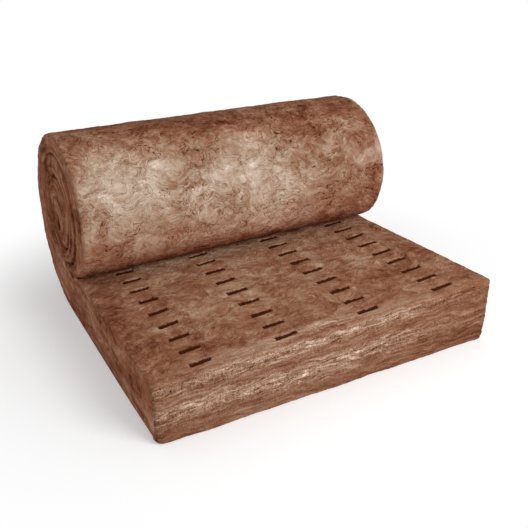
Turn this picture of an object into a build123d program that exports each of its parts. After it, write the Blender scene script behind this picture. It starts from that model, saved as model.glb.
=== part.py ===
from build123d import *
import math
import os

# Mineral-wool insulation felt, partly unrolled. It is one continuous mat: the flat length lies on the
# floor, turns up at the back, closes over the top, rests on the flat length in front and winds
# inwards to a small open eye.
# Millimetres. Origin at the centre of the base rectangle on the floor. X runs across the felt
# along the axis of the roll, -Y points to the cut front edge of the flat length, +Z is up.

# Felt
WIDTH = 1200.0
FRONT_THICKNESS_LEFT = 200.0
FRONT_THICKNESS_RIGHT = 232.0
CUT_EDGE_RADIUS = 10.0
FRONT_CORNER_RADIUS = 22.0

# Flat length, measured forwards from the line where the back of the roll leaves the floor
FLAT_LEFT = 890.0
FLAT_RIGHT = 922.0
TOP_UNDER_ROLL = 201.0

# Outer turn: radii of its four quarter arcs, from the floor round the back, over and down the front
BACK_LOW_RADIUS = 310.0
BACK_HIGH_RADIUS = 370.0
FRONT_HIGH_RADIUS = 266.0
FRONT_LOW_RADIUS = 221.0

# Seam between the turns, as seen on both ends of the roll. It starts at the nip, where the roll rests on
# the flat length, dips under the weight of the roll and winds inwards in arcs of (radius, degrees)
SEAM_MOUTH = 12.0
SEAM_ROOT = 2.0
SEAM_DEPTH = 32.0
SEAM_FORWARD = 168.0
SEAM_HEIGHT = 199.0
SEAM_DIP = -21.0
SEAM_RUN = 23.0
SEAM_ARCS = [
    (272.0, 86.0),
    (171.0, 72.0),
    (283.0, 64.0),
    (111.0, 47.0),
    (242.0, 101.0),
    (86.0, 29.0),
    (172.0, 85.0),
    (156.0, 103.0),
    (79.0, 52.0),
    (180.0, 66.0),
    (76.0, 66.0),
    (107.0, 89.0),
    (68.0, 126.0),
    (68.0, 92.0),
]

# Eye left open along the middle of the roll, behind the line where the felt leaves the floor
EYE_BACK = 12.0
EYE_HEIGHT = 348.0
EYE_LONG = 54.0
EYE_SHORT = 28.0
EYE_LEAN = 12.0

# Marks pressed across the inner face of the felt as cutting guides
MARK_LINES = 9
MARK_FIRST = 208.0
MARK_PITCH_LEFT = 79.4
MARK_PITCH_RIGHT = 83.1
MARK_SWAY = 9.0
MARK_ROWS = [-442.0, -160.0, 141.0, 446.0]
MARK_GATHER = 0.024
MARK_LENGTHS = [67.0, 76.0, 81.0, 86.0]
MARK_WIDTH = 19.0
MARK_DEPTH = 8.0

# Where the back of the roll leaves the floor
LIFT_Y = (FLAT_RIGHT - BACK_LOW_RADIUS) / 2


def arc_chain(y, z, heading, steps, offset):
    """Tangent arcs of (radius, degrees) turning left; a positive offset draws them inside the turn."""
    edges = []
    for radius, degrees in steps:
        start = (y - math.sin(heading) * offset, z + math.cos(heading) * offset)
        along = (math.cos(heading), math.sin(heading))
        edges.append(JernArc(start, along, radius - offset, degrees))
        y -= math.sin(heading) * radius
        z += math.cos(heading) * radius
        heading += math.radians(degrees)
        y += math.sin(heading) * radius
        z -= math.cos(heading) * radius
    end = (y - math.sin(heading) * offset, z + math.cos(heading) * offset)
    return edges, end


def side_plane(x):
    """Plane at X = x whose own x runs along +Y and own y along +Z."""
    return Plane(origin=(x, 0, 0), x_dir=(0, 1, 0), z_dir=(1, 0, 0))


def outer_turn():
    """Roll within its outer turn, down to the floor, drawn across the whole width."""
    radii = [BACK_LOW_RADIUS, BACK_HIGH_RADIUS, FRONT_HIGH_RADIUS, FRONT_LOW_RADIUS]
    arcs, end = arc_chain(LIFT_Y, 0.0, 0.0, [(radius, 90.0) for radius in radii], 0.0)
    floor = Line((end[0], 0), (LIFT_Y, 0))
    close = Line(end, (end[0], 0))
    return extrude(side_plane(-WIDTH / 2) * make_face([floor] + arcs + [close]), WIDTH)


def flat_length():
    """Flat felt between its left and right side outlines; the cut front edge is not quite square."""
    sections = []
    for x, length, thickness in (
        (-WIDTH / 2, FLAT_LEFT, FRONT_THICKNESS_LEFT),
        (WIDTH / 2, FLAT_RIGHT, FRONT_THICKNESS_RIGHT),
    ):
        outline = Polyline(
            (LIFT_Y, 0),
            (LIFT_Y - 100, 0),
            (LIFT_Y - length, 0),
            (LIFT_Y - length, thickness),
            (LIFT_Y - 100, TOP_UNDER_ROLL),
            (LIFT_Y, TOP_UNDER_ROLL),
            close=True,
        )
        sections.append(side_plane(x) * make_face(outline))
    return loft(sections, ruled=True)


def soften(felt):
    """Rounds the front corners, then every cut edge of the two ends and the front."""
    corners = felt.edges().filter_by(Axis.Z).filter_by(lambda e: e.center().Y < LIFT_Y - 500)
    felt = fillet(corners, FRONT_CORNER_RADIUS)
    rims = []
    for edge in felt.edges():
        box = edge.bounding_box()
        on_end = box.size.X < 0.01 and abs(abs(box.center().X) - WIDTH / 2) < 0.01
        on_front = box.max.Y < LIFT_Y - FLAT_LEFT + 30 and box.size.Z < 40
        if on_end or on_front:
            rims.append(edge)
    return fillet(rims, CUT_EDGE_RADIUS)


def seam_band(width):
    """Closed outline that follows the spiral seam with this width."""
    dip = math.radians(SEAM_DIP)
    start_y = LIFT_Y - SEAM_FORWARD
    bend_y = start_y + math.cos(dip) * SEAM_RUN
    bend_z = SEAM_HEIGHT + math.sin(dip) * SEAM_RUN
    sides = []
    mouths = []
    tips = []
    for offset in (-width / 2, width / 2):
        arcs, tip = arc_chain(bend_y, bend_z, dip, SEAM_ARCS, offset)
        mouth = (start_y - math.sin(dip) * offset, SEAM_HEIGHT + math.cos(dip) * offset)
        bend = (bend_y - math.sin(dip) * offset, bend_z + math.cos(dip) * offset)
        sides += [Line(mouth, bend)] + arcs
        mouths.append(mouth)
        tips.append(tip)
    return make_face(sides + [Line(*mouths), Line(*tips)])


def seam(x, inwards):
    """Groove of the spiral seam in one end of the roll: open lips that close on a narrow root."""
    lips = side_plane(x) * seam_band(SEAM_MOUTH)
    root = side_plane(x + SEAM_DEPTH * inwards) * seam_band(SEAM_ROOT)
    return loft([lips, root], ruled=True)


def eye():
    """Open oval left at the middle of the winding, through the whole width."""
    oval = Rot(0, 0, 90 + EYE_LEAN) * Ellipse(EYE_LONG / 2, EYE_SHORT / 2)
    oval = Pos(LIFT_Y + EYE_BACK, EYE_HEIGHT) * oval
    return extrude(side_plane(-WIDTH / 2 - 10) * oval, WIDTH + 20)


def top_height(x, y):
    """Height of the upper face of the flat felt at a point of its length."""
    across = x / WIDTH + 0.5
    length = FLAT_LEFT + (FLAT_RIGHT - FLAT_LEFT) * across
    front = FRONT_THICKNESS_LEFT + (FRONT_THICKNESS_RIGHT - FRONT_THICKNESS_LEFT) * across
    forward = (LIFT_Y - 100 - y) / (length - 100)
    return TOP_UNDER_ROLL + (front - TOP_UNDER_ROLL) * forward


def marks():
    """Shallow slots in rows along the felt; the lines of marks follow the cut of the front edge."""
    slots = []
    for row, length in zip(MARK_ROWS, MARK_LENGTHS):
        for line in range(MARK_LINES):
            gather = 1 - MARK_GATHER * line / (MARK_LINES - 1)
            x = MARK_ROWS[0] + (row - MARK_ROWS[0]) * gather
            pitch = MARK_PITCH_LEFT + (MARK_PITCH_RIGHT - MARK_PITCH_LEFT) * (x / WIDTH + 0.5)
            sway = MARK_SWAY * math.sin(2 * math.pi * line / (MARK_LINES - 1))
            y = LIFT_Y - MARK_FIRST - pitch * line + sway
            z = top_height(x, y) - MARK_DEPTH
            slots.append(Pos(x, y, z + 20) * Box(length, MARK_WIDTH, 40))
    return slots


mat = soften(outer_turn() + flat_length())
mat = mat - seam(-WIDTH / 2, 1) - seam(WIDTH / 2, -1) - eye()
mat = mat - marks()

os.makedirs("parts", exist_ok=True)
export_step(mat.solid(), "parts/insulation_mat.step")
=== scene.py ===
import math

import bpy
import numpy as np
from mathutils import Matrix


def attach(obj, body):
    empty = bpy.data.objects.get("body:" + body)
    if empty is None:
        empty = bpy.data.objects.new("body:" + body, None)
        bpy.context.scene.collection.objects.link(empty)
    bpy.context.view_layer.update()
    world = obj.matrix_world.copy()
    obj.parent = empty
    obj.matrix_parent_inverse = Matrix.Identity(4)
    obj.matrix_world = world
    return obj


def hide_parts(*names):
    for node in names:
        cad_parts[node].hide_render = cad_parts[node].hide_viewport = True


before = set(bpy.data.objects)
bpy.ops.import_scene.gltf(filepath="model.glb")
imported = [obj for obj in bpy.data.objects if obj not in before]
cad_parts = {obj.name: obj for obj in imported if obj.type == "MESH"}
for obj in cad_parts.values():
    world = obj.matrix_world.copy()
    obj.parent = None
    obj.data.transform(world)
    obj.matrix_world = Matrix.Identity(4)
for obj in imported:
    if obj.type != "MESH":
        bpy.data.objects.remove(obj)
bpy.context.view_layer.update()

# The flat length of the felt.
# Glass-wool felt, sawn across the front: fine fibres laid down in thin layers and set with a brown
# binder. Its upper face carries dark guide marks pressed in for cutting, and its cut edge is frayed.

# metres; a pair of sizes holds for the left and the right end of the felt
WIDTH = 1.200
THICKNESS = 0.200
LIFT_Y = 0.306  # where the back of the roll leaves the floor
FLAT = (0.890, 0.922)  # from the lift line to the cut front edge
FRONT = (0.200, 0.232)  # thickness at the front edge
UNDER_ROLL = 0.201
SLOPE_START = 0.100
FRONT_EDGE = 0.010
FLOOR_EDGE = 0.008
RIM_RADIUS = 0.010
STEP = 0.0046
TUCK = 0.014
LIP_ROWS = 14
LIP_GAP = 0.0012
MARK_LINES = 9
LAST_LINE = MARK_LINES - 1
MARK_FIRST = 0.208
MARK_PITCH = (0.0794, 0.0831)
MEAN_PITCH = 0.081
MARK_SWAY = 0.009
MARK_ROWS = (-0.442, -0.160, 0.141, 0.446)
MARK_LENGTHS = (0.067, 0.076, 0.081, 0.086)
MARK_GATHER = 0.024
MARK_WIDTH = 0.018
MARK_SLANT = 0.085
MARK_DEPTH = 0.0035
NO_LINE = -9.0  # stands for "no mark line here"
TOP_TONE = 0.42
FRONT_TONE = 0.295
# thicker and thinner places of the felt: x, y, half width along x, half width along y, change of tone; the
# pale patches close in front of the roll are painted light, laid over the shade of the roll there
TOP_CLOUDS_AND_PAINTED_LIGHT = (
    (-0.03, -0.01, 0.09, 0.07, 0.10),
    # painted light: pale patch close in front of the roll on the right
    (0.24, 0.05, 0.20, 0.08, 0.09),
    (-0.15, -0.24, 0.10, 0.10, 0.08),
    (-0.31, -0.27, 0.09, 0.06, 0.14),
    (0.32, -0.22, 0.08, 0.06, 0.10),
    (0.15, -0.09, 0.05, 0.08, 0.08),
    # painted light: the next two pale patches, close in front of the roll's nip on the left
    (-0.20, 0.08, 0.26, 0.05, 0.14),
    (-0.32, 0.01, 0.11, 0.05, 0.14),
    (-0.51, 0.07, 0.05, 0.05, -0.10),
    (-0.54, -0.22, 0.06, 0.14, -0.07),
    (-0.60, -0.20, 0.06, 0.50, -0.09),
    (-0.45, -0.45, 0.16, 0.10, -0.08),
    (-0.53, -0.53, 0.06, 0.06, -0.07),
    (-0.11, -0.53, 0.10, 0.05, -0.13),
    (0.04, -0.42, 0.06, 0.04, 0.06),
    (0.20, -0.53, 0.08, 0.05, -0.13),
    (0.33, -0.40, 0.08, 0.05, -0.10),
    (0.45, -0.36, 0.07, 0.04, -0.08),
    (0.51, -0.53, 0.08, 0.05, -0.14),
    (0.54, -0.28, 0.06, 0.07, -0.13),
)
# seam between the turns, from the nip inwards; its arcs are (radius in mm, degrees)
SEAM_START = (LIFT_Y - 0.168, 0.199)
SEAM_DIP = -21.0
SEAM_RUN = 0.023
SEAM_ARCS = ((272, 86), (171, 72), (283, 64), (111, 47), (242, 101), (86, 29), (172, 85),
             (156, 103), (79, 52), (180, 66), (76, 66), (107, 89), (68, 126), (68, 92))
# relief of the felt, coarse to fine: grain size and height
PILE = ((0.170, 0.0018), (0.070, 0.0016), (0.030, 0.0011), (0.014, 0.0009), (0.007, 0.0007))


def ease(edge0, edge1, value):
    """0 below edge0, 1 above edge1, and 3t^2 - 2t^3 between them."""
    t = np.clip((value - edge0) / (edge1 - edge0), 0, 1)
    return t * t * (3 - 2 * t)


def swell(value, middle, width):
    """Soft hump: 1 at its middle, exp(-((value - middle) / width)^2) beside it."""
    return np.exp(-((value - middle) / width) ** 2)


def between(ends, share):
    """Size that changes evenly from the left end (share 0) to the right end (share 1)."""
    return ends[0] + (ends[1] - ends[0]) * share


def lumps(points, size, seed):
    """Smooth random field of this grain: a random number at each corner of a cubic lattice, eased between."""
    scaled = points / size
    cell = np.floor(scaled).astype(np.int64)
    t = scaled - cell
    t = t * t * (3 - 2 * t)
    total = np.zeros(points.shape[:-1])
    for corner in range(8):
        step = np.array([corner & 1, corner >> 1 & 1, corner >> 2 & 1])
        at = cell + step
        mix = at[..., 0] * 73856093 ^ at[..., 1] * 19349663 ^ at[..., 2] * 83492791 ^ seed * 50331653
        mix = (mix ^ mix >> 13) * 1274126177 & 0x7FFFFFFF
        mix = (mix ^ mix >> 15) * 668265263 & 0x7FFFFFFF
        value = (mix >> 8 & 0xFFFF) / 32767.5 - 1
        total += value * np.prod(np.where(step, t, 1 - t), axis=-1)
    return total


def pile(points):
    """Relief of the felt in metres, hollows and tufts: the sum of height * lumps over the grain sizes."""
    return sum(height * lumps(points, grain, seed) for seed, (grain, height) in enumerate(PILE, 1))


def patches(u, v, listed):
    """Sum of soft round patches: each is strength * exp(-(du / half width)^2 - (dv / half width)^2)."""
    total = np.zeros(np.broadcast(u, v).shape)
    for at_u, at_v, wide, tall, much in listed:
        total += much * np.exp(-((u - at_u) / wide) ** 2 - ((v - at_v) / tall) ** 2)
    return total


def arc_points(y, z, heading, arcs, offset, spacing):
    """Points along tangent arcs of (radius in mm, degrees) turning left: centre + (radius - offset) *
    (sin, -cos) of the heading; also the place and heading at which the last arc ends."""
    line = []
    for radius, degrees in arcs:
        radius /= 1000
        sweep = math.radians(degrees)
        count = max(3, math.ceil(radius * sweep / spacing))
        angle = heading + np.linspace(0, sweep, count, endpoint=False)
        centre = (y - math.sin(heading) * radius, z + math.cos(heading) * radius)
        reach = radius - offset
        line.append(np.stack([centre[0] + reach * np.sin(angle), centre[1] - reach * np.cos(angle)], 1))
        heading += sweep
        y = centre[0] + radius * math.sin(heading)
        z = centre[1] - radius * math.cos(heading)
    return np.concatenate(line), (y, z, heading)


def seam_line(offset, spacing):
    """Side view of the seam from the nip inwards: a short straight dip, then the arcs of the turns."""
    dip = math.radians(SEAM_DIP)
    ahead = np.array([math.cos(dip), math.sin(dip)])
    aside = np.array([-math.sin(dip), math.cos(dip)]) * offset
    run = np.linspace(0, SEAM_RUN, 6, endpoint=False)[:, None]
    turns, _ = arc_points(*(SEAM_START + SEAM_RUN * ahead), dip, SEAM_ARCS, offset, spacing)
    return np.concatenate([SEAM_START + run * ahead + aside, turns])


def across():
    """Columns over the width: place from -1 to 1 of the middle part, and the angle round each rim."""
    middle = np.linspace(-1, 1, round((WIDTH - 2 * RIM_RADIUS) / STEP) + 1)
    angles = np.radians([18, 36, 54, 72, 90])
    place = np.concatenate([-np.ones(6), middle, np.ones(6)])
    rim = np.concatenate([[-math.pi / 2], -angles[::-1], 0 * middle, angles, [math.pi / 2]])
    return place, rim


def outward(y, z):
    """Unit normals (dz, -dy) / length of a side outline that runs with the felt on its left."""
    dy, dz = np.gradient(y, axis=0), np.gradient(z, axis=0)
    size = np.hypot(dy, dz) + 1e-12
    return dz / size, -dy / size


def skin(y, z, rim_radius, calm):
    """Felt face: a side outline y, z (rows) carried over the width (columns) and rounded at both rims.

    Point = outline - normal * radius * (1 - cos a), and x = half width - radius * (1 - sin a), with a the
    rim's angle; the last column at each rim is tucked in behind the end; then the relief moves each point
    along the normal, times calm."""
    ny, nz = outward(y, z)
    radius = rim_radius[:, None]
    tuck = np.zeros(len(rim))
    tuck[[0, -1]] = TUCK
    inset = radius * (1 - np.cos(rim)) + tuck
    edge = np.sign(rim) * (WIDTH / 2 - radius * (1 - np.abs(np.sin(rim))) - tuck * 0.3)
    x = np.where(rim == 0, place * (WIDTH / 2 - radius), edge)
    points = np.stack([x, y - ny * inset, z - nz * inset], -1)
    relief = pile(points) * calm
    points[..., 0] += relief * np.sin(rim)
    points[..., 1] += relief * ny * np.cos(rim)
    points[..., 2] += relief * nz * np.cos(rim)
    points[..., 2] = np.maximum(points[..., 2], 0.0)
    return points


def sheet_faces(rows, columns):
    """Quads of a grid of points, wound so that they face outwards."""
    corner = (np.arange(rows - 1)[:, None] * columns + np.arange(columns - 1)).ravel()
    return np.stack([corner, corner + columns, corner + columns + 1, corner + 1], 1)


def build(name, points, faces, fields):
    """Mesh object from arrays, shaded smooth; each field is three numbers or arrays spread over the points.

    The wool reads: layers = (metres along the felt, depth in it, share of cut look); guide = (x, count of
    mark lines, 1 flat, 0 roll, -1 ends and eye); tone = (tone, with painted highlight and shade in places;
    frayed or loose, which on the roll also paints a highlight; share of warm brown, which low on the roll
    paints a shade colour)."""
    mesh = bpy.data.meshes.new(name)
    mesh.vertices.add(points.size // 3)
    mesh.vertices.foreach_set("co", points.astype(np.float32).ravel())
    mesh.loops.add(faces.size)
    mesh.loops.foreach_set("vertex_index", faces.ravel().astype(np.int32))
    mesh.polygons.add(len(faces))
    mesh.polygons.foreach_set("loop_start", np.arange(0, faces.size, 4, dtype=np.int32))
    mesh.polygons.foreach_set("use_smooth", np.ones(len(faces), bool))
    mesh.update(calc_edges=True)
    for field, values in fields.items():
        spread = np.stack([np.broadcast_to(value, points.shape[:-1]) for value in values], -1)
        layer = mesh.attributes.new(field, "FLOAT_VECTOR", "POINT")
        layer.data.foreach_set("vector", spread.astype(np.float32).ravel())
    mesh.validate()
    piece = bpy.data.objects.new(name, mesh)
    bpy.context.scene.collection.objects.link(piece)
    return piece


def top_height(y, share):
    """Height of the flat length's upper face: straight from under the roll to the front edge."""
    run = between(FLAT, share) - SLOPE_START
    return UNDER_ROLL + (between(FRONT, share) - UNDER_ROLL) * (LIFT_Y - SLOPE_START - y) / run


def sway(line):
    """Bend of the mark lines along the felt: one sine wave from the first line to the last."""
    return MARK_SWAY * np.sin(np.clip(line, 0, LAST_LINE) * 2 * math.pi / LAST_LINE)


def guide(x, y):
    """Count of mark lines from the first one: (distance + sway) / pitch, in rounds, as sway needs a count."""
    pitch = between(MARK_PITCH, x / WIDTH + 0.5)
    line = (LIFT_Y - MARK_FIRST - y) / pitch
    for _ in range(3):
        line = (LIFT_Y - MARK_FIRST - y + sway(line)) / pitch
    return line


# rows of the side outline: the lip inside the nip, the upper face with rows close together at each mark
# line, the rounded front edge, the cut face, the rounded foot and the underside
place, rim = across()
side = (np.where(rim == 0, place * (WIDTH / 2 - RIM_RADIUS), np.sign(rim) * WIDTH / 2) / WIDTH + 0.5)[None, :]
length = between(FLAT, side)
front = between(FRONT, side)
front_y = LIFT_Y - length
lip = seam_line(-LIP_GAP, 0.006)[:LIP_ROWS][::-1]
at_marks = np.arange(MARK_LINES)[:, None] + (-0.11, -0.085, -0.06, -0.03, 0.0, 0.03, 0.06, 0.085, 0.11)
off_marks = np.arange(-1, MARK_LINES)[:, None] + np.linspace(0.16, 0.84, 13)
lines = np.sort(np.concatenate([at_marks.ravel(), off_marks.ravel()]))
lines = lines[(lines > -0.50) & (lines < 8.40)][:, None]
top_y = LIFT_Y - MARK_FIRST - between(MARK_PITCH, side) * lines + sway(lines)
turn = np.radians(np.linspace(0, 90, 7))[:, None]
drop = np.linspace(0, 1, 60)[1:-1, None]
foot = np.radians(np.linspace(0, 90, 5))[:, None]
back = np.linspace(0, 1, 46)[1:, None]
y = np.concatenate([
    lip[:, :1] + 0 * side,
    top_y,
    front_y + FRONT_EDGE * (1 - np.sin(turn)),
    front_y + 0 * drop,
    front_y + FLOOR_EDGE * (1 - np.cos(foot)),
    front_y + FLOOR_EDGE + (length - FLOOR_EDGE) * back,
])
z = np.concatenate([
    lip[:, 1:] + 0 * side,
    top_height(top_y, side),
    front - FRONT_EDGE * (1 - np.cos(turn)),
    (front - FRONT_EDGE) + (FLOOR_EDGE - front + FRONT_EDGE) * drop,
    FLOOR_EDGE * (1 - np.sin(foot)) + 0 * side,
    0 * back + 0 * side,
])
top_row, turn_row, face_row, foot_row, under_row, rows = np.cumsum(
    [len(part) for part in (lip, lines, turn, drop, foot, back)])
row = np.arange(rows)[:, None]
cut = ease(turn_row - 3, face_row, row) * (1 - ease(foot_row, under_row, row))
rim_radius = 0.008 + 0.002 * cut + 0.016 * swell(row, foot_row, 12.0)
calm = ease(0, top_row + 4, row) * (1 - ease(foot_row, under_row + 2, row))
points = skin(y, z, rim_radius[:, 0], calm)

# marks pressed into the upper face, and layers of 7 and 16 mm standing 2 to 3 mm proud on the cut face
x = points[..., 0]
line = guide(x, points[..., 1])
on_top = (row >= top_row) & (row < turn_row)
nearest_line = np.round(np.clip(line, 0, LAST_LINE))
pressed = np.zeros_like(x)
for centre, long in zip(MARK_ROWS, MARK_LENGTHS):
    middle = MARK_ROWS[0] + (centre - MARK_ROWS[0]) * (1 - MARK_GATHER * line / LAST_LINE)
    offset = np.abs((line - nearest_line) * MEAN_PITCH + (x - middle) * MARK_SLANT)
    beside = 1 - ease(MARK_WIDTH * 0.40, MARK_WIDTH * 0.70, offset)
    along = 1 - ease(long / 2 - 0.004, long / 2 + 0.003, np.abs(x - middle))
    pressed = np.maximum(pressed, beside * along)
points[..., 2] -= pressed * on_top * MARK_DEPTH
rumple = np.stack([x * 0.12, 0 * x + 3.0, points[..., 2]], -1)
layer_relief = 0.0022 * lumps(rumple, 0.007, 11) + 0.0030 * lumps(rumple, 0.016, 12)
points[..., 1] -= layer_relief * cut * np.cos(rim)

# the cut look spills over the front edge in a ragged strip, and torn bands run along the cut face near
# the top and in the middle of its thickness; the right corner and the far left lie darker
level = np.clip(points[..., 2] / front, 0, 1)
front_gap = np.maximum(points[..., 1] - front_y, 0)
depth = level * THICKNESS + front_gap * (level > 0.8)
plan = points * [1, 1, 0]
ragged = front_gap + 0.032 * lumps(plan, 0.055, 41) + 0.010 * lumps(plan, 0.015, 42)
spill = (1 - ease(0.025, 0.085, ragged)) * swell(x, -0.06, 0.40) * on_top
torn_edge = np.maximum(cut, spill)
torn_top = swell(level, 0.92, 0.16)
torn_top *= 1 - 0.75 * ease(0.15, 0.55, x) + 0.35 * swell(x, -0.32, 0.20)
torn_middle = swell(level, 0.45 + 0.03 * np.sin(x * 11), 0.18)
torn_middle *= 1 - 0.7 * ease(0.15, 0.50, x) + 0.2 * swell(x, -0.15, 0.15)
fray = np.maximum(torn_top, torn_middle) * torn_edge
# painted highlight: a pale, warmer line along both rims of the upper face
rim_highlight = ease(WIDTH / 2 - 0.009, WIDTH / 2 - 0.002, np.abs(x)) * (1 - cut)
tone = TOP_TONE + patches(x, points[..., 1], TOP_CLOUDS_AND_PAINTED_LIGHT) + 0.04 * rim_highlight
tone += (FRONT_TONE - tone) * torn_edge
tone += 0.16 * fray + 0.16 * spill * (1 - cut)
tone -= (0.08 * ease(0.20, 0.55, x) + 0.05 * ease(-0.35, -0.58, x)) * cut
warm = np.maximum(0.5 * rim_highlight, 0.8 * spill * (1 - cut))
flat_felt = build("felt_flat", points, sheet_faces(*x.shape), {
    "layers": (x, depth, torn_edge),
    "guide": (x, np.where(on_top, line, NO_LINE), 1),
    "tone": (tone, fray * torn_edge, warm),
})


def linear(code):
    """sRGB hex to linear red, green, blue and a full alpha."""
    srgb = np.array([int(code[i:i + 2], 16) for i in (1, 3, 5)]) / 255
    line = np.where(srgb <= 0.04045, srgb / 12.92, ((srgb + 0.055) / 1.055) ** 2.4)
    return (*line.tolist(), 1.0)


def add(tree, kind, inputs, **settings):
    """Adds one node; inputs maps a socket to a value, to an output or to a node, which gives its first."""
    node = tree.nodes.new("ShaderNode" + kind)
    for name, value in settings.items():
        setattr(node, name, value)
    for socket, value in inputs.items():
        if isinstance(value, bpy.types.Node):
            value = value.outputs[0]
        if isinstance(value, bpy.types.NodeSocket):
            tree.links.new(value, node.inputs[socket])
        else:
            node.inputs[socket].default_value = value
    return node


def glass_wool():
    """Glass wool set with a brown bio-based binder, as laid and sawn: matt, cloudy and full of wavy fibres.

    Tone = the piece's own tone + the sum of weight * pattern, and a ramp turns the tone into a brown."""
    material = bpy.data.materials.new("glass_wool_brown_binder")
    material.use_nodes = True
    tree = material.node_tree
    tree.nodes.clear()
    place = add(tree, "TexCoord", {}).outputs["Object"]
    fields = [add(tree, "Attribute", {}, attribute_name=name) for name in ("layers", "guide", "tone")]
    (along, depth, cut), (x, line, face), (own_tone, loose_and_sheen, warm) = (
        add(tree, "SeparateXYZ", {0: field.outputs["Vector"]}).outputs for field in fields)
    on_flat = add(tree, "Math", {0: face, 1: 0.0}, operation="MAXIMUM")
    sawn = add(tree, "Math", {0: face, 1: -1.0}, operation="MULTIPLY")
    sawn = add(tree, "Math", {0: sawn, 1: 0.0}, operation="MAXIMUM")

    # places: pushed about by swirls of 110 mm and 220 mm and drawn out along the width; in the cut felt
    # drawn out along its layers, or across them for the fringes
    push, sweep = (
        add(tree, "VectorMath", {0: add(tree, "TexNoise", swirl).outputs[1], 1: (0.5, 0.5, 0.5)},
            operation="SUBTRACT")
        for swirl in ({"Vector": place, "Scale": 9.0, "Detail": 3.0, "Roughness": 0.55},
                      {"Vector": place, "Scale": 4.5, "Detail": 1.0, "Roughness": 0.5})
    )
    swirled = add(tree, "VectorMath", {0: push, 1: (0.12, 0.12, 0.12), 2: place}, operation="MULTIPLY_ADD")
    swept = add(tree, "VectorMath", {0: sweep, 1: (0.30, 0.30, 0.30), 2: swirled}, operation="MULTIPLY_ADD")
    laid = add(tree, "Mapping", {"Vector": swirled, "Scale": (0.7, 1.0, 1.1)})
    stroke = add(tree, "Mapping", {"Vector": swept, "Scale": (0.34, 1.0, 1.0)})
    layer_run = add(tree, "Math", {0: along, 1: 0.12}, operation="MULTIPLY")
    drawn = add(tree, "CombineXYZ", {0: layer_run, 1: depth})
    drawn = add(tree, "VectorMath", {0: push, 1: (0.012, 0.040, 0.0), 2: drawn}, operation="MULTIPLY_ADD")
    layer_rise = add(tree, "Math", {0: depth, 1: 0.22}, operation="MULTIPLY")
    upright = add(tree, "CombineXYZ", {0: along, 1: layer_rise})

    # patterns, of about 1000 mm / scale; real fibres are a few thousandths of a millimetre thick, too fine
    # to show, so that strands and grain are drawn as coarse as tufts of fibres, 11 mm and 4 mm
    pattern = {}
    for name, vector, scale, detail, roughness, distortion in (
        ("clouds", swirled, 9.0, 4.0, 0.60, 0.0),
        ("mottle", laid, 32.0, 6.0, 0.65, 0.6),
        ("strokes", stroke, 34.0, 5.0, 0.66, 0.2),
        ("strands", stroke, 92.0, 4.0, 0.62, 0.5),
        ("grain", place, 230.0, 4.0, 0.72, 0.2),
        ("patchy", place, 8.0, 2.0, 0.50, 0.0),
        ("thin", place, 14.0, 2.0, 0.50, 0.0),
        ("curl", laid, 21.0, 2.5, 0.55, 1.4),
        ("wisp", stroke, 44.0, 3.0, 0.60, 0.8),
        ("sheets", drawn, 110.0, 5.0, 0.68, 0.4),
        ("broad", drawn, 26.0, 3.0, 0.55, 0.2),
        ("tear", drawn, 36.0, 2.5, 0.55, 0.6),
        ("fringe", upright, 140.0, 3.0, 0.70, 1.0),
        ("fleck", place, 135.0, 2.0, 0.60, 1.0),
        ("ragged", place, 110.0, 3.0, 0.60, 0.0),
    ):
        pattern[name] = add(tree, "TexNoise", {"Vector": vector, "Scale": scale, "Detail": detail,
                                               "Roughness": roughness, "Distortion": distortion})

    # thin lines run where a pattern passes its middle value; fleck and thin are cut off at a level
    for name, middle in (("curl", 0.50), ("wisp", 0.52), ("tear", 0.50)):
        gap = add(tree, "Math", {0: pattern[name], 1: middle}, operation="SUBTRACT")
        pattern[name] = add(tree, "Math", {0: gap}, operation="ABSOLUTE")
    for name, source, start, end, at_start, at_end in (
        ("uneven", "patchy", 0.36, 0.64, 0.40, 1.50),
        ("sparse", "thin", 0.38, 0.56, 0.0, 1.0),
        ("dense", "thin", 0.38, 0.56, 1.0, 0.0),
        ("crack", "curl", 0.0, 0.016, 1.0, 0.0),
        ("wrinkle", "curl", 0.0, 0.050, 1.0, 0.0),
        ("thread", "wisp", 0.0, 0.010, 1.0, 0.0),
        ("tear_line", "tear", 0.0, 0.028, 1.0, 0.0),
        ("pale_fleck", "fleck", 0.60, 0.66, 0.0, 1.0),
        ("dark_fleck", "fleck", 0.42, 0.35, 0.0, 1.0),
    ):
        pattern[name] = add(tree, "MapRange", {0: pattern[source], 1: start, 2: end, 3: at_start, 4: at_end},
                            interpolation_type="SMOOTHSTEP")

    # mixtures of patterns; the start value brings those that change the tone to 0 on average
    mixture = {}
    for name, start, parts in (
        ("face", -0.95, {"mottle": 0.65, "clouds": 0.65, "strokes": 0.60}),
        ("fine", -0.40, {"grain": 0.42, "strands": 0.38}),
        ("layers", -1.325, {"broad": 0.60, "sheets": 1.15, "grain": 0.90}),
        ("torn", -0.25, {"fringe": 0.50, "tear_line": 0.30, "pale_fleck": 0.16, "dark_fleck": -0.28}),
        ("sawn", -1.44, {"broad": 0.80, "mottle": 0.75, "sheets": 0.28, "clouds": 0.80, "grain": 0.25}),
        ("height", 0.0, {"strands": 0.50, "mottle": 0.90, "strokes": 0.50, "wrinkle": -0.30, "grain": 0.20}),
    ):
        mixture[name] = start
        for source, weight in parts.items():
            mixture[name] = add(tree, "Math", {0: pattern[source], 1: weight, 2: mixture[name]},
                                operation="MULTIPLY_ADD")

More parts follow.
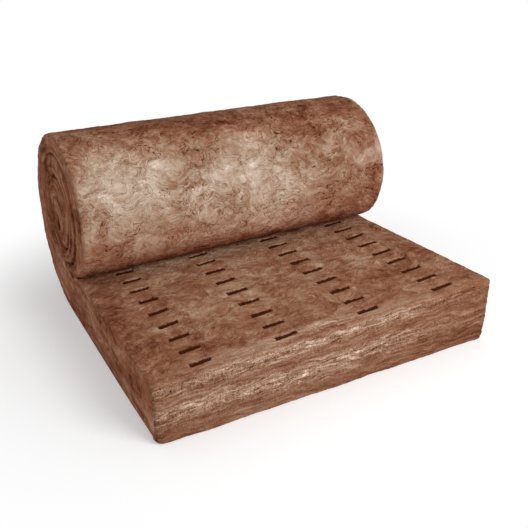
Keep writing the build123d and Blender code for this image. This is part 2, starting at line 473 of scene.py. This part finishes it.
    # face of the felt: uneven grain, cracks where it is sparse and pale threads where it is dense; the
    # flat length has calmer grain and fewer cracks than the roll
    grain_gain = add(tree, "Math", {0: on_flat, 1: -0.22, 2: 1.0}, operation="MULTIPLY_ADD")
    grain_gain = add(tree, "Math", {0: pattern["uneven"], 1: grain_gain}, operation="MULTIPLY")
    crack_gain = add(tree, "Math", {0: on_flat, 1: -0.70, 2: 1.0}, operation="MULTIPLY_ADD")
    crack = add(tree, "Math", {0: pattern["crack"], 1: pattern["sparse"]}, operation="MULTIPLY")
    crack = add(tree, "Math", {0: crack, 1: crack_gain}, operation="MULTIPLY")
    thread = add(tree, "Math", {0: pattern["thread"], 1: pattern["dense"]}, operation="MULTIPLY")
    lift = mixture["face"]
    for source, weight in ((mixture["fine"], grain_gain), (crack, -0.42), (thread, 0.17)):
        lift = add(tree, "Math", {0: source, 1: weight, 2: lift}, operation="MULTIPLY_ADD")

    # cut edge: thin layers drawn along the felt, each 60 to 100 mm long and 2 to 6 mm thick, and torn bands
    # where pale fibre ends stand out in wavy lines with short fringes; the sawn ends are only blotchy
    layer_gain = add(tree, "Math", {0: loose_and_sheen, 1: 0.45, 2: 0.72}, operation="MULTIPLY_ADD")
    edge_lift = add(tree, "Math", {0: mixture["layers"], 1: layer_gain}, operation="MULTIPLY")
    edge_lift = add(tree, "Math", {0: mixture["torn"], 1: loose_and_sheen, 2: edge_lift}, operation="MULTIPLY_ADD")
    lift = add(tree, "Mix", {0: cut, 2: lift, 3: edge_lift}, data_type="FLOAT")
    lift = add(tree, "Mix", {0: sawn, 2: lift, 3: mixture["sawn"]}, data_type="FLOAT")
    tone = add(tree, "Math", {0: own_tone, 1: lift}, operation="ADD")

    # binder and fibre: brown in the hollows, tan where fibres stand off, near white where they lie open;
    # ramps for the face, for its loose greyer places, which on the roll are partly a painted highlight, for the
    # cut edge and for the warm sawn ends, whose ramp low on the roll serves as a painted shade colour
    stops = (0.0, 0.105, 0.25, 0.41, 0.585, 0.79, 1.0)
    colour = None
    for share, codes in (
        (None, ("#2c150b", "#58301e", "#754631", "#90634a", "#a7846b", "#c1a691", "#e0d0c2")),
        (loose_and_sheen, ("#2c150b", "#58301e", "#744732", "#8b6650", "#a08773", "#bca897", "#decfc2")),
        (cut, ("#2c150b", "#56311f", "#714935", "#89654f", "#a08572", "#bea18b", "#dcc7b3")),
        (warm, ("#2c130a", "#582e1c", "#77442f", "#915e45", "#a67c63", "#be987f", "#d8baa2")),
    ):
        ramp = add(tree, "ValToRGB", {0: tone})
        while len(ramp.color_ramp.elements) < len(stops):
            ramp.color_ramp.elements.new(0.5)
        for element, at, code in zip(ramp.color_ramp.elements, stops, codes):
            element.position = at
            element.color = linear(code)
        if colour is None:
            colour = ramp
        else:
            colour = add(tree, "Mix", {0: share, 6: colour, 7: ramp}, data_type="RGBA").outputs[2]

    # dark marks: |line - nearest line| and |x - middle of the row| against half the mark's size, with
    # an edge ragged by 6 mm and fibres of two dark browns
    ragged = add(tree, "Math", {0: pattern["ragged"], 1: 0.012, 2: -0.006}, operation="MULTIPLY_ADD")
    off_line = add(tree, "Math", {0: line, 1: add(tree, "Math", {0: line}, operation="ROUND")},
                   operation="SUBTRACT")
    off_line = add(tree, "Math", {0: off_line, 1: MEAN_PITCH}, operation="MULTIPLY")
    dark_mark = 0.0
    for centre, long in zip(MARK_ROWS, MARK_LENGTHS):
        gather = -(centre - MARK_ROWS[0]) * MARK_GATHER / LAST_LINE
        middle = add(tree, "Math", {0: line, 1: gather, 2: centre}, operation="MULTIPLY_ADD")
        off_middle = add(tree, "Math", {0: x, 1: middle}, operation="SUBTRACT")
        off_side = add(tree, "Math", {0: off_middle, 1: MARK_SLANT, 2: off_line}, operation="MULTIPLY_ADD")
        off_side = add(tree, "Math", {0: off_side}, operation="ABSOLUTE")
        off_side = add(tree, "Math", {0: off_side, 1: MARK_WIDTH / 2 - 0.0005}, operation="SUBTRACT")
        off_side = add(tree, "Math", {0: off_middle, 1: 0.035, 2: off_side}, operation="MULTIPLY_ADD")
        off_end = add(tree, "Math", {0: off_middle}, operation="ABSOLUTE")
        off_end = add(tree, "Math", {0: off_end, 1: long / 2}, operation="SUBTRACT")
        outside = add(tree, "Math", {0: off_side, 1: off_end}, operation="MAXIMUM")
        outside = add(tree, "Math", {0: outside, 1: ragged}, operation="ADD")
        mark = add(tree, "MapRange", {0: outside, 1: -0.002, 2: 0.002, 3: 1.0, 4: 0.0},
                   interpolation_type="SMOOTHSTEP")
        dark_mark = add(tree, "Math", {0: dark_mark, 1: mark}, operation="MAXIMUM")
    for limit, operation in ((-0.4, "GREATER_THAN"), (LAST_LINE + 0.4, "LESS_THAN")):
        on_line = add(tree, "Math", {0: line, 1: limit}, operation=operation)
        dark_mark = add(tree, "Math", {0: dark_mark, 1: on_line}, operation="MULTIPLY")
    mark_mix = add(tree, "Math", {0: pattern["strands"], 1: 0.7}, operation="MULTIPLY")
    mark_brown = add(tree, "Mix", {0: mark_mix, 6: linear("#311307"), 7: linear("#542812")}, data_type="RGBA")
    colour = add(tree, "Mix", {0: dark_mark, 6: colour, 7: mark_brown.outputs[2]}, data_type="RGBA").outputs[2]

    # fine relief of 6 mm at most; loose fibres scatter the light, so that the glass's gloss hardly shows
    sheet_gain = add(tree, "Math", {0: sawn, 1: -0.5, 2: 1.0}, operation="MULTIPLY_ADD")
    fringe_gain = add(tree, "Math", {0: loose_and_sheen, 1: 0.8}, operation="MULTIPLY")
    edge_height = add(tree, "Math", {0: pattern["fringe"], 1: fringe_gain}, operation="MULTIPLY")
    edge_height = add(tree, "Math", {0: pattern["sheets"], 1: sheet_gain, 2: edge_height},
                      operation="MULTIPLY_ADD")
    height = add(tree, "Mix", {0: cut, 2: mixture["height"], 3: edge_height}, data_type="FLOAT")
    bump = add(tree, "Bump", {"Strength": 0.8, "Distance": 0.006, "Height": height})
    shader = add(tree, "BsdfPrincipled", {
        "Base Color": colour,
        "Roughness": 0.95,
        "IOR": 1.5,
        "Specular IOR Level": 0.02,
        "Normal": bump,
    })
    add(tree, "OutputMaterial", {"Surface": shader})
    return material


wool = glass_wool()
flat_felt.data.materials.append(wool)
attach(flat_felt, "root")
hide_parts("insulation_mat")

# The roll.
# The same felt, wound up: it leaves the floor at the back, closes over the top and comes down in front on
# the flat length. What shows is the felt's outer face, paler where the fibres are loose, with a painted
# highlight in a band at the height of the shoulder.
TURN_ARCS = ((310, 90), (370, 90), (266, 90))
NIP_ARC = (221, 76)
TURN_STEP = 0.0062
ROLL_TONE = 0.34
RIM_HIGHLIGHT_TONE = 0.46
# thicker and thinner places: x, height, half width along x, half width in height, change of tone; the pale
# band they make at shoulder height, towards the lamp and the front, is partly paler felt and partly a painted
# highlight
ROLL_CLOUDS_AND_HIGHLIGHT = (
    (-0.43, 0.54, 0.17, 0.11, 0.32),
    (-0.52, 0.62, 0.07, 0.05, 0.14),
    (-0.50, 0.40, 0.09, 0.07, 0.08),
    (-0.18, 0.48, 0.24, 0.11, 0.21),
    (-0.25, 0.60, 0.09, 0.035, 0.12),
    (-0.26, 0.53, 0.09, 0.030, -0.08),
    (-0.18, 0.36, 0.06, 0.040, -0.13),
    (0.05, 0.57, 0.15, 0.10, 0.30),
    (0.10, 0.41, 0.11, 0.08, 0.22),
    (0.22, 0.47, 0.10, 0.05, 0.10),
    (0.32, 0.49, 0.18, 0.06, 0.12),
    (0.54, 0.51, 0.08, 0.030, 0.24),
    (0.54, 0.41, 0.06, 0.050, -0.12),
    (0.51, 0.62, 0.07, 0.025, 0.14),
    (0.26, 0.62, 0.08, 0.040, -0.12),
    (0.40, 0.58, 0.06, 0.050, 0.09),
    (0.45, 0.34, 0.15, 0.05, -0.05),
    (-0.08, 0.68, 0.28, 0.035, -0.16),
    (-0.30, 0.32, 0.35, 0.065, 0.22),
    (0.20, 0.33, 0.35, 0.065, 0.20),
    (-0.10, 0.20, 0.80, 0.060, -0.13),
)
arcs, above_nip = arc_points(LIFT_Y, 0.0, 0.0, TURN_ARCS, 0.0, TURN_STEP)
low_arc, _ = arc_points(*above_nip, (NIP_ARC,), 0.0, STEP)
outline = np.concatenate([arcs, low_arc, seam_line(LIP_GAP, 0.006)[:LIP_ROWS]])
row = np.arange(len(outline))
nip_row = len(outline) - LIP_ROWS
calm = (ease(0, 10, row) * (1 - ease(nip_row - 8, nip_row + 6, row)))[:, None]
points = skin(outline[:, :1] + 0 * side, outline[:, 1:] + 0 * side, np.full(len(row), RIM_RADIUS), calm)

# the clouds, and the painted highlight in them, fade out towards the back; the rims carry a painted
# highlight, wider near the top; the fibres lie loosest at the height of the shoulder, where the greyer ramp
# adds to the painted highlight, and the lower part, in shade as it turns under, takes the warm ramp of the
# sawn ends as a painted shade colour
x = points[..., 0]
height = points[..., 2]
towards_front = 1 - ease(0.10, 0.34, points[..., 1])
# painted highlight on both rims of the roll, wider near the top
rim_highlight_width = 0.012 + 0.016 * ease(0.42, 0.66, height)
rim_highlight = ease(WIDTH / 2 - rim_highlight_width, WIDTH / 2 - rim_highlight_width * 0.4, np.abs(x))
# the pale band of the clouds at shoulder height is partly a painted highlight, and fades towards the back
tone = ROLL_TONE + patches(x, height, ROLL_CLOUDS_AND_HIGHLIGHT) * towards_front
tone += (RIM_HIGHLIGHT_TONE - tone) * 0.6 * rim_highlight
# painted highlight: the greyer pale ramp at shoulder height, on the front of the roll
loose_and_sheen = ease(0.25, 0.42, height) * (1 - 0.7 * ease(0.58, 0.66, height)) * towards_front
# painted shade colour: the warm ramp low on the roll, where it turns under in shade, and on the rim highlight
warm = np.maximum(0.1 * rim_highlight, 1 - ease(0.26, 0.48, height))
roll_felt = build("felt_roll", points, sheet_faces(*x.shape), {
    "layers": (x, 0.1, 0),
    "guide": (x, NO_LINE, 0),
    "tone": (tone, loose_and_sheen, warm),
})
roll_felt.data.materials.append(wool)
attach(roll_felt, "root")
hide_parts("insulation_mat")

# The two ends.
# Sawn edges of the felt: the turns lie one inside the other round a small open eye, pinched together
# under the roll, with a soft seam between them and the layers of the felt running along each turn.
EYE = (LIFT_Y + 0.012, 0.348)
EYE_LONG = 0.054
EYE_SHORT = 0.028
EYE_LEAN = 12.0
NIP = 0.164
END_TONE = 0.40
END_CUT = 0.55  # share of the layered cut look
END_INSET = 0.0085  # the end's face starts this far inside the felt's outline
FRONT_BEND = 0.020
FOOT_BEND = 0.024
SEAM_DEPTH = 0.030
SEAM_HALF = 0.0065
OUTER_TURN = 1.78  # length of the outermost turn along its outside
INNERMOST = 0.012  # where the last turn ends, measured from the middle of the eye
LAYER_LEAN = 0.034  # how far the layers' pattern leans on the ends of the flat length
TURN_BULGE = 0.004
CELL = 0.0030


def nearest(points, line):
    """Closest point of a polyline to each point, a + t * (b - a) with t kept in 0 to 1, and its distance."""
    a, b = line[:-1], line[1:]
    d = b - a
    size = (d * d).sum(1)
    spots = np.zeros_like(points)
    gaps = np.zeros(len(points))
    for start in range(0, len(points), 4000):
        part = points[start:start + 4000]
        t = np.clip(((part[:, None] - a) * d).sum(2) / size, 0, 1)
        foot = a + t[..., None] * d
        gap = np.hypot(part[:, None, 0] - foot[..., 0], part[:, None, 1] - foot[..., 1])
        best = gap.argmin(1)
        pick = np.arange(len(part))
        spots[start:start + 4000] = foot[pick, best]
        gaps[start:start + 4000] = gap[pick, best]
    return spots, gaps


def inside(points, loop):
    """Even-odd test: a point lies inside if a level line from it crosses the outline an odd number of times."""
    hit = np.zeros(len(points), bool)
    for (ay, az), (by, bz) in zip(loop, np.roll(loop, -1, 0)):
        crosses = (az > points[:, 1]) != (bz > points[:, 1])
        level = ay + (points[:, 1] - az) / (bz - az + 1e-12) * (by - ay)
        hit ^= crosses & (points[:, 0] < level)
    return hit


def eye_oval(turn):
    """Side outline of the eye: an ellipse (long * cos, short * sin), turned back by its lean."""
    lean = math.radians(90 + EYE_LEAN)
    a, b = EYE_LONG / 2 * np.cos(turn), EYE_SHORT / 2 * np.sin(turn)
    return (EYE[0] + a * math.cos(lean) - b * math.sin(lean),
            EYE[1] + a * math.sin(lean) + b * math.cos(lean))


def end_outline(share):
    """Closed side outline of one end: back, top and front of the roll, flat length, front edge and floor,
    drawn in along its normals."""
    thick = between(FRONT, share)
    front_y = LIFT_Y - between(FLAT, share)
    flat_y = np.linspace(LIFT_Y - NIP - 0.002, front_y + FRONT_BEND, 40)
    corner = np.radians(np.linspace(0, 90, 6))
    edge_z = np.linspace(thick - 0.03, 0.03, 12)
    floor_y = np.linspace(front_y + 0.03, LIFT_Y - 0.02, 30)
    y = np.concatenate([arcs[:, 0], low_arc[:, 0], flat_y, front_y + FRONT_BEND * (1 - np.sin(corner)),
                        0 * edge_z + front_y, front_y + FOOT_BEND * (1 - np.cos(corner)), floor_y])
    z = np.concatenate([arcs[:, 1], low_arc[:, 1], top_height(flat_y, share),
                        thick - FRONT_BEND * (1 - np.cos(corner)), edge_z,
                        FOOT_BEND * (1 - np.sin(corner)), 0 * floor_y])
    ny, nz = outward(y, z)
    return np.stack([y - ny * END_INSET, z - nz * END_INSET], 1)


def felt_place(points, share):
    """Where a point of an end lies in the unrolled felt: metres along it and depth as a share of thickness.

    Round the roll, the outline and then the seam are one spiral r(angle) about the eye, and a point lies
    between r(angle) and r(angle + 360); on the flat length the depth is height over thickness."""
    seam = seam_line(0.0, 0.004)
    spiral = np.concatenate([arcs, low_arc, seam])
    about = spiral - EYE
    angle = np.unwrap(np.arctan2(about[:, 1], about[:, 0]))
    radius = np.hypot(about[:, 0], about[:, 1])
    run = np.concatenate([[0], np.cumsum(np.hypot(*np.diff(spiral, axis=0).T))])
    keep = np.concatenate([[True], np.diff(np.maximum.accumulate(angle)) > 1e-6])
    angle, radius, run = angle[keep], radius[keep], run[keep]
    off = points - EYE
    r = np.hypot(off[:, 0], off[:, 1])
    bearing = np.arctan2(off[:, 1], off[:, 0])
    theta = np.where(bearing < angle[0], bearing + 2 * math.pi, bearing)
    along = np.zeros(len(points))
    depth = np.full(len(points), 0.5)
    done = np.zeros(len(points), bool)
    for turn in range(5):
        at = theta + 2 * math.pi * turn
        outer = np.interp(at, angle, radius)
        after = at + 2 * math.pi
        inner = np.where(after < angle[-1], np.interp(after, angle, radius), INNERMOST)
        here = ~done & (r >= inner)
        depth[here] = ((outer - r) / np.maximum(outer - inner, 1e-4))[here]
        along[here] = np.interp(at, angle, run)[here]
        done |= here
    under = np.interp(points[:, 0], seam[:50, 0], seam[:50, 1])
    level = np.where(points[:, 0] > SEAM_START[0], under, top_height(points[:, 0], share))
    flat = (bearing < angle[0]) & (r > np.interp(bearing + 2 * math.pi, angle, radius))
    along = np.where(flat, points[:, 0] - LIFT_Y - LAYER_LEAN * points[:, 1], along)
    depth = np.where(flat, points[:, 1] / level, depth)
    return along, np.clip(depth, 0, 1)


def end_piece(name, sign):
    """End of the felt as a height field x(y, z) on a grid: rim rounded, seam and layers sunk into it.

    x = half width - seam depth * (1 - gap / half mouth)^1.3 - relief; grid points outside the outline or
    inside the eye are drawn onto it, and cells with no point on the felt are left out."""
    share = 0.5 + sign * 0.5
    loop = end_outline(share)
    hole = np.stack(eye_oval(np.linspace(0, 2 * math.pi, 48, endpoint=False)), 1)
    ys = np.arange(loop[:, 0].min() - CELL, loop[:, 0].max() + 2 * CELL, CELL)
    zs = np.arange(-CELL, loop[:, 1].max() + 2 * CELL, CELL)
    grid = np.stack(np.meshgrid(ys, zs, indexing="ij"), -1).reshape(-1, 2)
    felt = inside(grid, loop) & ~inside(grid, hole)
    cells = sheet_faces(len(ys), len(zs))
    cells = cells[felt[cells].any(1)]
    used = np.unique(cells)
    cells = np.searchsorted(used, cells)
    flat = grid[used]
    out = ~felt[used]
    to_rim, rim_gap = nearest(flat, np.concatenate([loop, loop[:1]]))
    to_eye, eye_gap = nearest(flat, np.concatenate([hole, hole[:1]]))
    snapped = np.where((rim_gap < eye_gap)[:, None], to_rim, to_eye)
    flat = np.where(out[:, None], snapped, flat)
    rim_gap = np.where(out & (rim_gap < eye_gap), 0, rim_gap)
    _, gap = nearest(flat, seam_line(0.0, 0.005))
    along, depth = felt_place(flat, share)
    points = np.stack([0 * gap + sign * WIDTH / 2, flat[:, 0], flat[:, 1]], 1)

    # the seam gapes widest towards the front of the roll and nearly closes at the back and at the eye
    reach = np.hypot(flat[:, 0] - EYE[0], flat[:, 1] - EYE[1])
    forward = ease(0.12, -0.08, flat[:, 0] - EYE[0])
    open_seam = (0.22 + 0.78 * forward) * (0.6 + 0.4 * ease(0.10, 0.22, reach))
    wander = 0.95 + 0.40 * lumps(points, 0.09, 21)
    half = SEAM_HALF * wander * (1 + 0.7 * forward * ease(0.10, 0.22, reach))
    sink = SEAM_DEPTH * open_seam * np.clip(1 - gap / half, 0, 1) ** 1.3

    # painted shade: darker the deeper the seam sinks, and round the mouth of the eye; darker also in the splits
    # between layers of the inner turns
    inner = along > OUTER_TURN
    layer_split = np.stack([along * 0.06, depth * THICKNESS, 0 * along], 1)
    split = 1 - ease(0, 0.10, np.abs(lumps(layer_split, 0.012, 24)))
    tone = END_TONE - 0.32 * sink / SEAM_DEPTH - 0.06 * inner - 0.25 * (1 - ease(0, 0.010, eye_gap))
    tone -= 0.09 * split * inner * forward * ease(0.0, 0.02, gap)

    # turns bulge between the seams, and layers of 8 and 22 mm stand 1 to 2 mm proud
    streaks = np.stack([along * 0.10, depth * THICKNESS, 0 * along + sign * 5], 1)
    relief = pile(points) * 0.8 + 0.0012 * lumps(streaks, 0.008, 22) + 0.0022 * lumps(streaks, 0.022, 23)
    relief += TURN_BULGE * np.sin(math.pi * depth) * ease(0.0, 0.05, gap) - 0.002
    rounding = 0.0028 * (1 - ease(0, 0.009, rim_gap)) + 0.006 * (1 - ease(0, 0.012, eye_gap))
    calm = ease(0, 0.02, rim_gap) * 0.7 + 0.3
    points[:, 0] += sign * (relief * calm - sink * ease(0, 0.004, rim_gap) - rounding)
    return build(name, points, cells if sign > 0 else cells[:, ::-1], {
        "layers": (along, depth * THICKNESS, END_CUT),
        "guide": (points[:, 0], NO_LINE, -1),
        "tone": (tone, 0, 1),
    })


for name, sign in (("felt_end_left", -1), ("felt_end_right", 1)):
    end_felt = end_piece(name, sign)
    end_felt.data.materials.append(wool)
    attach(end_felt, "root")
    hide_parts("insulation_mat")

# The eye.
# The small opening that stays in the middle of the winding, where the felt can bend no tighter. Its wall
# is the felt's own face, uneven and deep in shade, and its tone is near black, painted shade; it runs from
# end to end of the roll.
# painted shade: the near black tone of the eye's wall
EYE_SHADE_TONE = 0.05


def eye_wall():
    """Wall of the eye: its oval carried over the width, swelling by up to a tenth, facing the open middle."""
    turn = np.linspace(0, 2 * math.pi, 41)[None, :]
    x = np.linspace(-WIDTH / 2 + 0.005, WIDTH / 2 - 0.005, 90)[:, None]
    points = np.stack(np.broadcast_arrays(x, *eye_oval(turn)), -1)
    uneven = 1 + 0.10 * lumps(points, 0.06, 31) * ease(0, 0.05, WIDTH / 2 - np.abs(x))
    points[..., 1] = EYE[0] + (points[..., 1] - EYE[0]) * uneven
    points[..., 2] = EYE[1] + (points[..., 2] - EYE[1]) * uneven
    points[:, -1] = points[:, 0]
    return build("felt_eye", points, sheet_faces(*points.shape[:2]), {
        "layers": (x, 0.19, 0),
        "guide": (x, NO_LINE, -1),
        "tone": (EYE_SHADE_TONE, 0, 1),
    })


eye_felt = eye_wall()
eye_felt.data.materials.append(wool)
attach(eye_felt, "root")
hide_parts("insulation_mat")

# The room.
# A level painted floor just under the felt, matt and pale, which keeps the felt's soft shadow and fades
# into a white surround; one large soft lamp in front, on the right, and even light from all round.
FLOOR_REACH = 14.0
FLOOR_Z = -0.0005
LAMP_PLACE = (1.4, -3.8, 2.6)
LAMP_AIM = (0, 0, 0.3)
corners = np.array([[-FLOOR_REACH, -FLOOR_REACH, FLOOR_Z], [FLOOR_REACH, -FLOOR_REACH, FLOOR_Z],
                    [FLOOR_REACH, FLOOR_REACH, FLOOR_Z], [-FLOOR_REACH, FLOOR_REACH, FLOOR_Z]])
floor = build("floor", corners, np.array([[0, 1, 2, 3]]), {})
material = bpy.data.materials.new("floor_paint")
material.use_nodes = True
tree = material.node_tree
tree.nodes.clear()
paint = add(tree, "BsdfDiffuse", {0: linear("#fafafa")})
glow = add(tree, "Emission", {0: (1, 1, 1, 1), 1: 1.0})
spot = add(tree, "TexCoord", {}).outputs["Object"]
far = add(tree, "VectorMath", {0: spot}, operation="LENGTH").outputs["Value"]
far = add(tree, "MapRange", {0: far, 1: 0.75, 2: 1.35, 3: 0.3}, interpolation_type="SMOOTHSTEP")
seen = add(tree, "LightPath", {}).outputs["Is Camera Ray"]
fade = add(tree, "Math", {0: far, 1: seen}, operation="MULTIPLY")
mixed = add(tree, "MixShader", {0: fade, 1: paint, 2: glow})
add(tree, "OutputMaterial", {"Surface": mixed})
floor.data.materials.append(material)

world = bpy.data.worlds.new("surround")
bpy.context.scene.world = world
world.use_nodes = True
tree = world.node_tree
tree.nodes.clear()
seen = add(tree, "LightPath", {}).outputs
white = add(tree, "Math", {0: seen["Is Camera Ray"], 1: seen["Is Glossy Ray"]}, operation="MAXIMUM")
lit = add(tree, "Background", {0: (1, 1, 1, 1), 1: 0.62})
plain = add(tree, "Background", {0: (1, 1, 1, 1), 1: 1.0})
pick = add(tree, "MixShader", {0: white, 1: lit, 2: plain})
add(tree, "OutputWorld", {0: pick})

light = bpy.data.lights.new("key", "AREA")
light.size = 2.4
light.energy = 170
lamp = bpy.data.objects.new("key", light)
bpy.context.scene.collection.objects.link(lamp)
away = np.array(LAMP_PLACE) - LAMP_AIM
lamp.location = LAMP_PLACE
lamp.rotation_euler = (math.atan2(math.hypot(away[0], away[1]), away[2]), 0, math.atan2(away[0], -away[1]))

# The camera.
# It stands in front of the felt on its left and looks down on it from a little below shoulder height.
camera = bpy.data.cameras.new("camera")
camera.sensor_width = 36.0
camera.lens = 47.0
camera.shift_x = -0.0015
camera.shift_y = -0.0383
viewer = bpy.data.objects.new("camera", camera)
bpy.context.scene.collection.objects.link(viewer)
viewer.location = (-1.0782, -2.0349, 1.3027)
viewer.rotation_euler = (math.pi / 2 - 0.428, 0, -0.514)
bpy.context.scene.camera = viewer
bpy.context.scene.view_settings.view_transform = "Standard"
